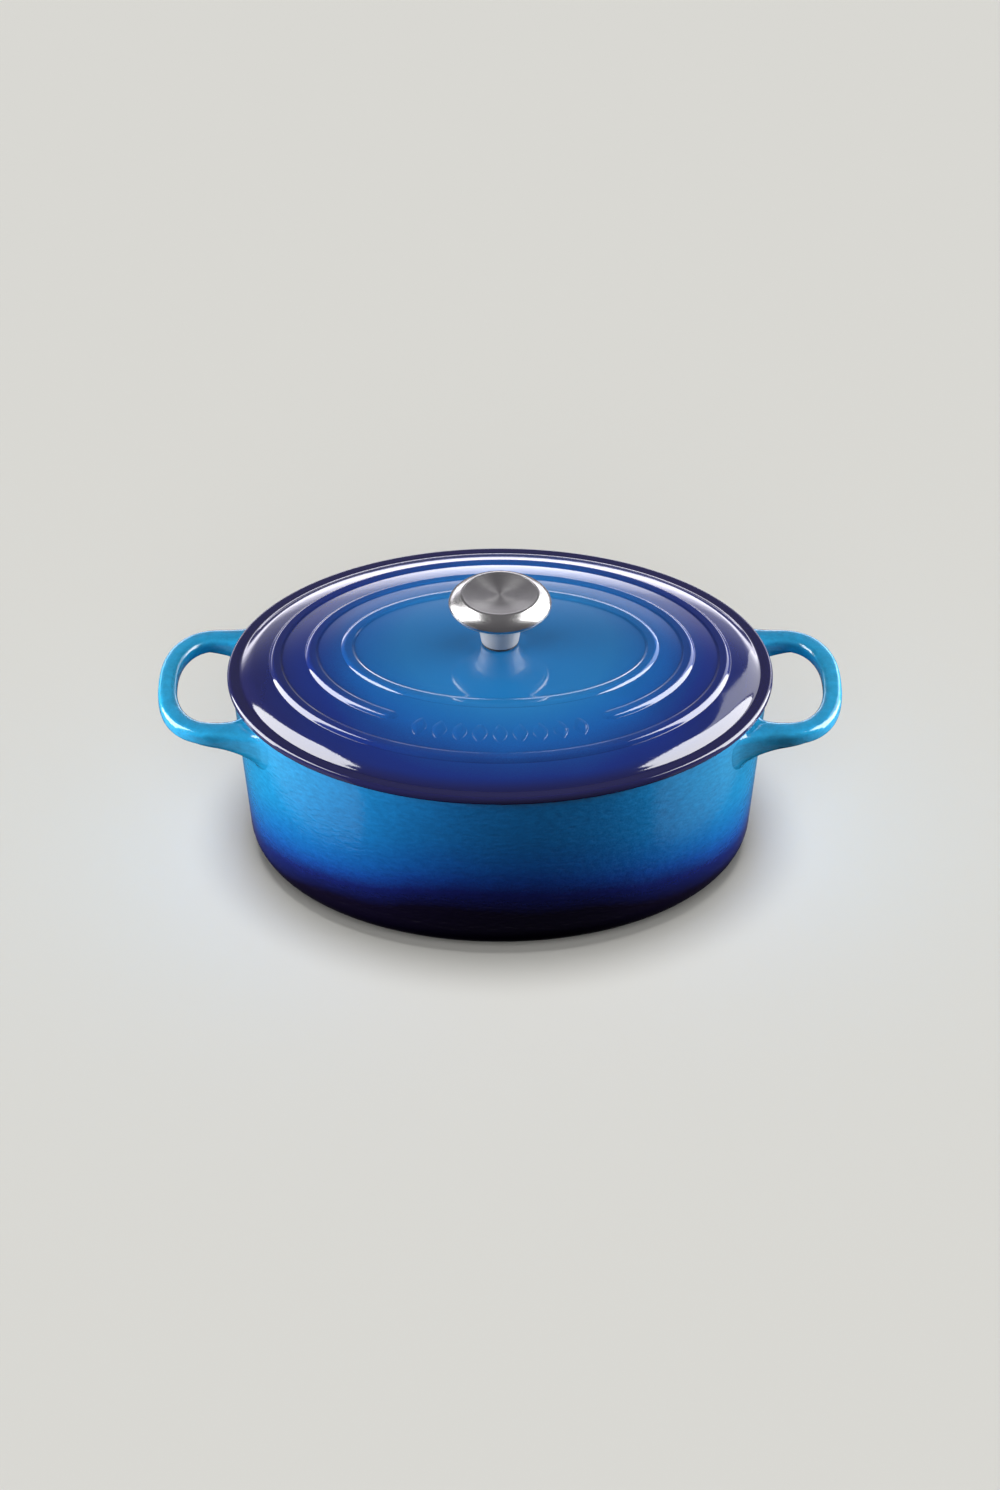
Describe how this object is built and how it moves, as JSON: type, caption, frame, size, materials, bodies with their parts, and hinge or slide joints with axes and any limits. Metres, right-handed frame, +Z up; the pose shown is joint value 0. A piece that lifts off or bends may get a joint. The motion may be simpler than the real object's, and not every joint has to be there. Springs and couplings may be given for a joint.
{
  "type": "cast iron dutch oven",
  "caption": "Oval enamelled cast-iron casserole with loop handles, and a domed, ringed lid with a steel knob that lifts straight off.",
  "frame": {"origin": "the middle of the base, on the surface that the pot stands on", "axes": "+X from handle to handle, along the oval's length; -Y is the front, where the middle ring of the lid is broken; +Z up"},
  "size_m": [0.374, 0.239, 0.1632],
  "materials": {
    "pot_enamel": "glossy vitreous enamel over cast iron, shaded from azure at the rim to near black at the base, sand-coloured inside",
    "lid_enamel": "glossy vitreous enamel over cast iron, shaded from mid blue at the middle to indigo at the edge, sand-coloured underneath",
    "knob_steel": "turned and brushed stainless steel",
    "plated_steel": "bright zinc-plated steel",
    "gasket_silicone": "matt black silicone"
  },
  "bodies": {
    "pot": {"pot": "pot_enamel"},
    "lid": {"lid": "lid_enamel", "knob_cap": "knob_steel", "knob_body": "knob_steel", "knob_insert": "plated_steel", "knob_gasket": "gasket_silicone", "flat_washer": "plated_steel", "lock_washer": "plated_steel", "knob_screw": "plated_steel"}
  },
  "joints": [
    {"name": "lid_lift", "type": "slide", "parent": "pot", "child": "lid", "axis": [0, 0, 1], "range_m": [0, 0.15]}
  ]
}
